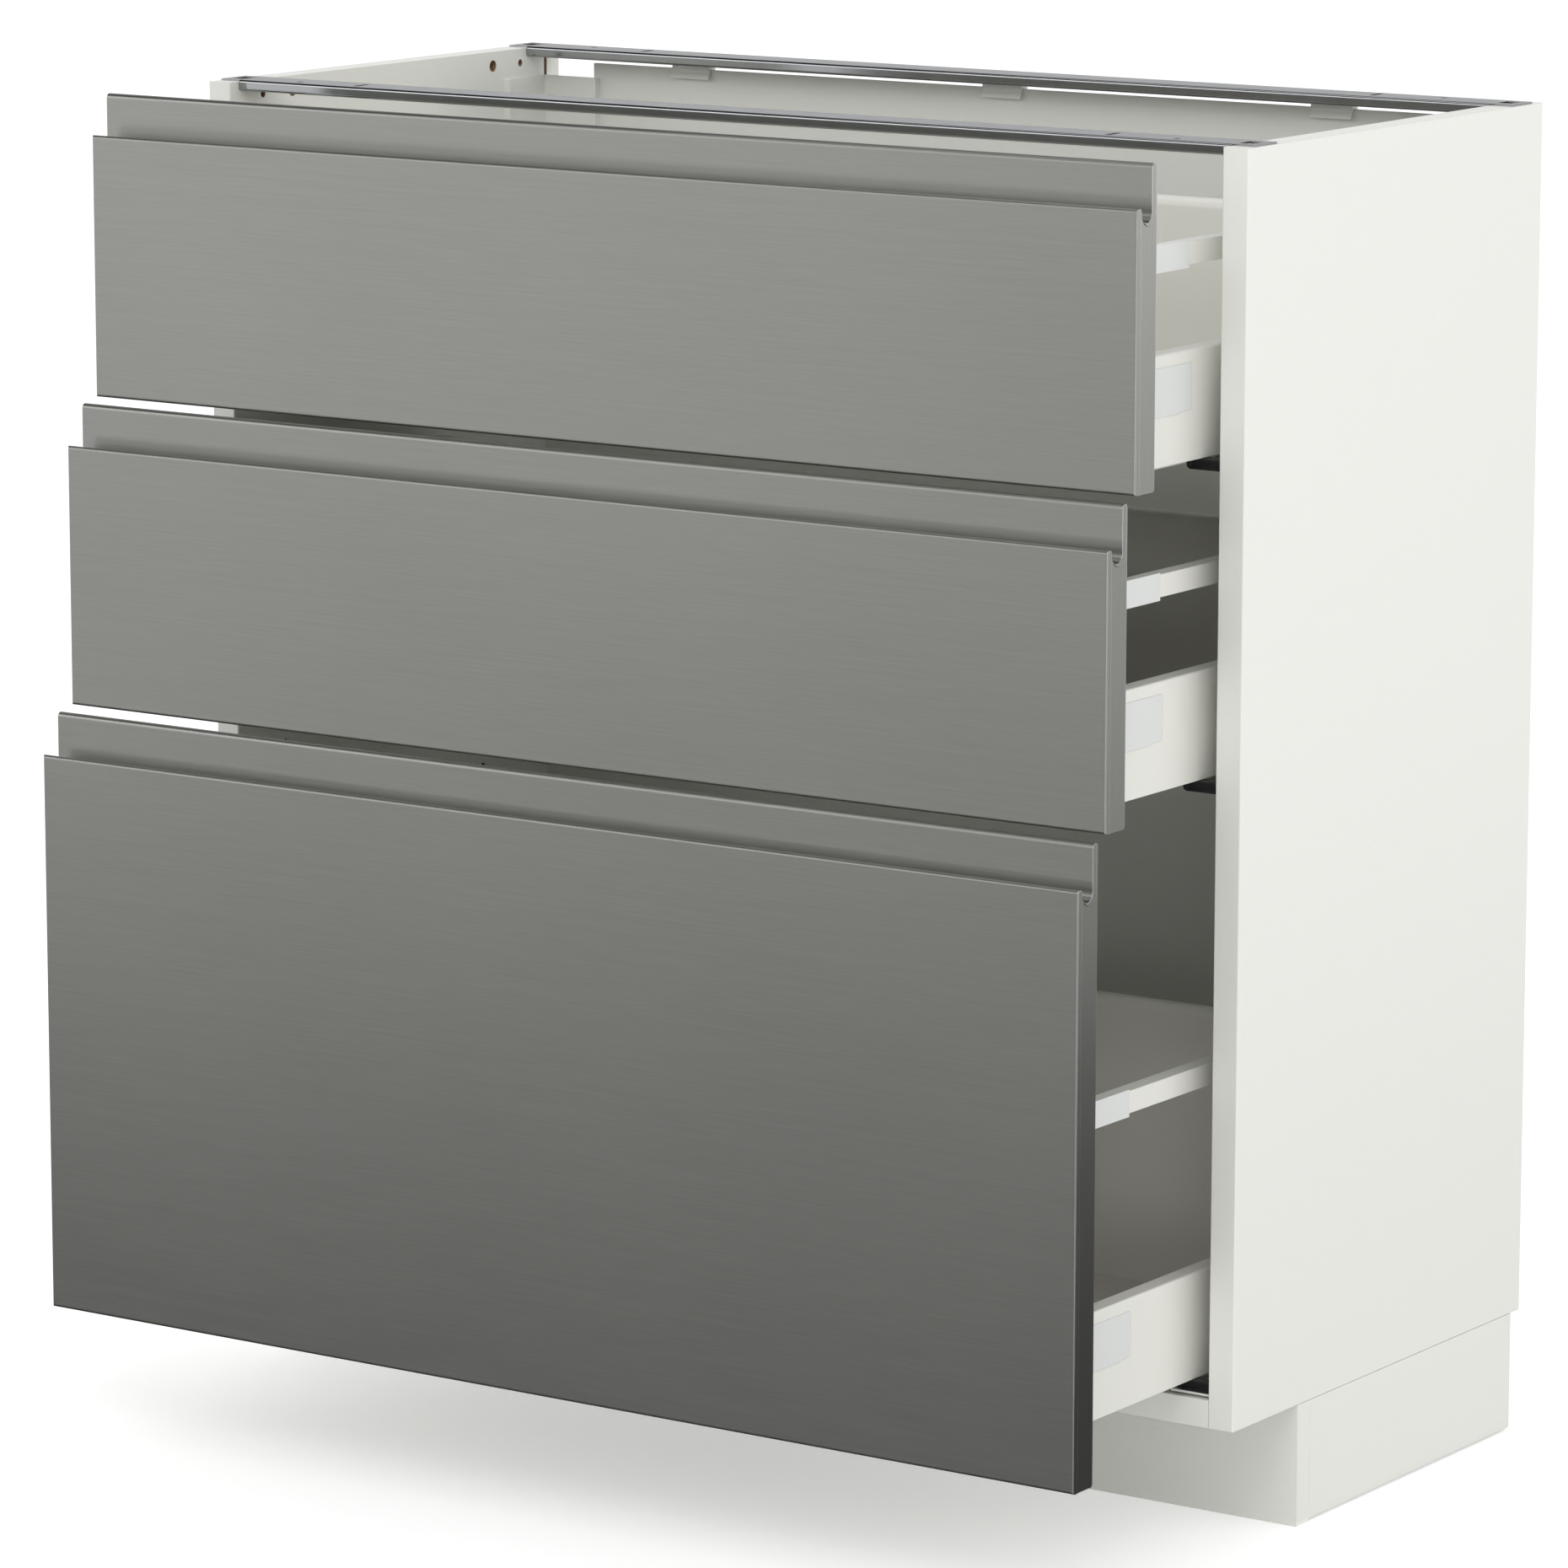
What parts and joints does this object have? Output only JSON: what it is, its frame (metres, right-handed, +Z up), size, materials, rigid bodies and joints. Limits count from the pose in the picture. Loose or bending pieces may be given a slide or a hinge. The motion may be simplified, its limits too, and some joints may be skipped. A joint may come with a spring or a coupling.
{
  "type": "three-drawer kitchen base cabinet",
  "caption": "Kitchen base cabinet on a plinth with two low drawers over a high one, steel fronts with finger channels.",
  "frame": {"origin": "on the floor, in the middle of the space that the cabinet takes up with its drawers pulled out as at rest", "axes": "+X to the right of someone facing the fronts, +Y to the wall behind, +Z up"},
  "size_m": [0.8, 0.554, 0.8812],
  "materials": {
    "white_panel": "particleboard with off-white melamine foil, satin",
    "brushed_front": "stainless sheet, fine horizontal brushing",
    "core_board": "light cell core with ribs, grey foil on the rear",
    "zinc_rail": "bright zinc-plated steel",
    "white_steel": "white powder-coated steel, satin",
    "white_plastic": "white moulded plastic, satin",
    "clear_plastic": "soft translucent bumper",
    "black_plastic": "black moulded plastic",
    "drawer_board": "particleboard with light grey melamine foil",
    "dowel_wood": "beech dowel"
  },
  "bodies": {
    "cabinet": {"side_panel_left": "white_panel", "side_panel_right": "white_panel", "bottom_panel": "white_panel", "back_panel": "white_panel", "carcass_dowels": "dowel_wood", "top_rail_front": "zinc_rail", "top_rail_rear": "zinc_rail", "back_panel_clips": "white_plastic", "corner_cover_left": "white_plastic", "corner_cover_right": "white_plastic", "leg_sockets": "black_plastic", "plinth_front": "white_panel", "plinth_side_left": "white_panel", "plinth_side_right": "white_panel", "plinth_clips": "white_plastic", "runner_rails": "white_steel", "runner_front_ends": "black_plastic", "runner_screws": "zinc_rail"},
    "runner_carriage_top": {"runner_middles_top": "zinc_rail"},
    "drawer_top": {"top_front_skin": "brushed_front", "top_front_core": "core_board", "top_side_left": "white_steel", "top_side_right": "white_steel", "top_bottom_board": "drawer_board", "top_rear_wall": "white_steel", "top_gallery_rails": "white_steel", "top_gallery_connectors": "white_plastic", "top_side_caps": "white_plastic", "top_front_brackets": "zinc_rail", "top_bumpers": "clear_plastic"},
    "runner_carriage_middle": {"runner_middles_middle": "zinc_rail"},
    "drawer_middle": {"middle_front_skin": "brushed_front", "middle_front_core": "core_board", "middle_side_left": "white_steel", "middle_side_right": "white_steel", "middle_bottom_board": "drawer_board", "middle_rear_wall": "white_steel", "middle_gallery_rails": "white_steel", "middle_gallery_connectors": "white_plastic", "middle_side_caps": "white_plastic", "middle_front_brackets": "zinc_rail", "middle_bumpers": "clear_plastic"},
    "runner_carriage_bottom": {"runner_middles_bottom": "zinc_rail"},
    "drawer_bottom": {"bottom_front_skin": "brushed_front", "bottom_front_core": "core_board", "bottom_side_left": "white_steel", "bottom_side_right": "white_steel", "bottom_bottom_board": "drawer_board", "bottom_rear_wall": "white_steel", "bottom_gallery_rails": "white_steel", "bottom_gallery_connectors": "white_plastic", "bottom_side_caps": "white_plastic", "bottom_front_brackets": "zinc_rail", "bottom_bumpers": "clear_plastic"},
    "leg_foot_front_left": {"foot_front_left": "black_plastic"},
    "leg_foot_front_right": {"foot_front_right": "black_plastic"},
    "leg_foot_rear_left": {"foot_rear_left": "black_plastic"},
    "leg_foot_rear_right": {"foot_rear_right": "black_plastic"}
  },
  "joints": [
    {"name": "drawer_top_slide", "type": "slide", "parent": "cabinet", "child": "drawer_top", "axis": [0, -1, 0], "range_m": [-0.1, 0.21]},
    {"name": "runner_top_slide", "type": "slide", "parent": "cabinet", "child": "runner_carriage_top", "axis": [0, -1, 0], "range_m": [-0.05, 0.105]},
    {"name": "drawer_middle_slide", "type": "slide", "parent": "cabinet", "child": "drawer_middle", "axis": [0, -1, 0], "range_m": [-0.13, 0.18]},
    {"name": "runner_middle_slide", "type": "slide", "parent": "cabinet", "child": "runner_carriage_middle", "axis": [0, -1, 0], "range_m": [-0.065, 0.09]},
    {"name": "drawer_bottom_slide", "type": "slide", "parent": "cabinet", "child": "drawer_bottom", "axis": [0, -1, 0], "range_m": [-0.16, 0.15]},
    {"name": "runner_bottom_slide", "type": "slide", "parent": "cabinet", "child": "runner_carriage_bottom", "axis": [0, -1, 0], "range_m": [-0.08, 0.075]},
    {"name": "foot_front_left_height", "type": "slide", "parent": "cabinet", "child": "leg_foot_front_left", "axis": [0, 0, -1], "range_m": [-0.005, 0.015]},
    {"name": "foot_front_right_height", "type": "slide", "parent": "cabinet", "child": "leg_foot_front_right", "axis": [0, 0, -1], "range_m": [-0.005, 0.015]},
    {"name": "foot_rear_left_height", "type": "slide", "parent": "cabinet", "child": "leg_foot_rear_left", "axis": [0, 0, -1], "range_m": [-0.005, 0.015]},
    {"name": "foot_rear_right_height", "type": "slide", "parent": "cabinet", "child": "leg_foot_rear_right", "axis": [0, 0, -1], "range_m": [-0.005, 0.015]}
  ],
  "couplings": [
    {"joint": "runner_top_slide", "follows": "drawer_top_slide", "ratio": 0.5},
    {"joint": "runner_middle_slide", "follows": "drawer_middle_slide", "ratio": 0.5},
    {"joint": "runner_bottom_slide", "follows": "drawer_bottom_slide", "ratio": 0.5}
  ]
}
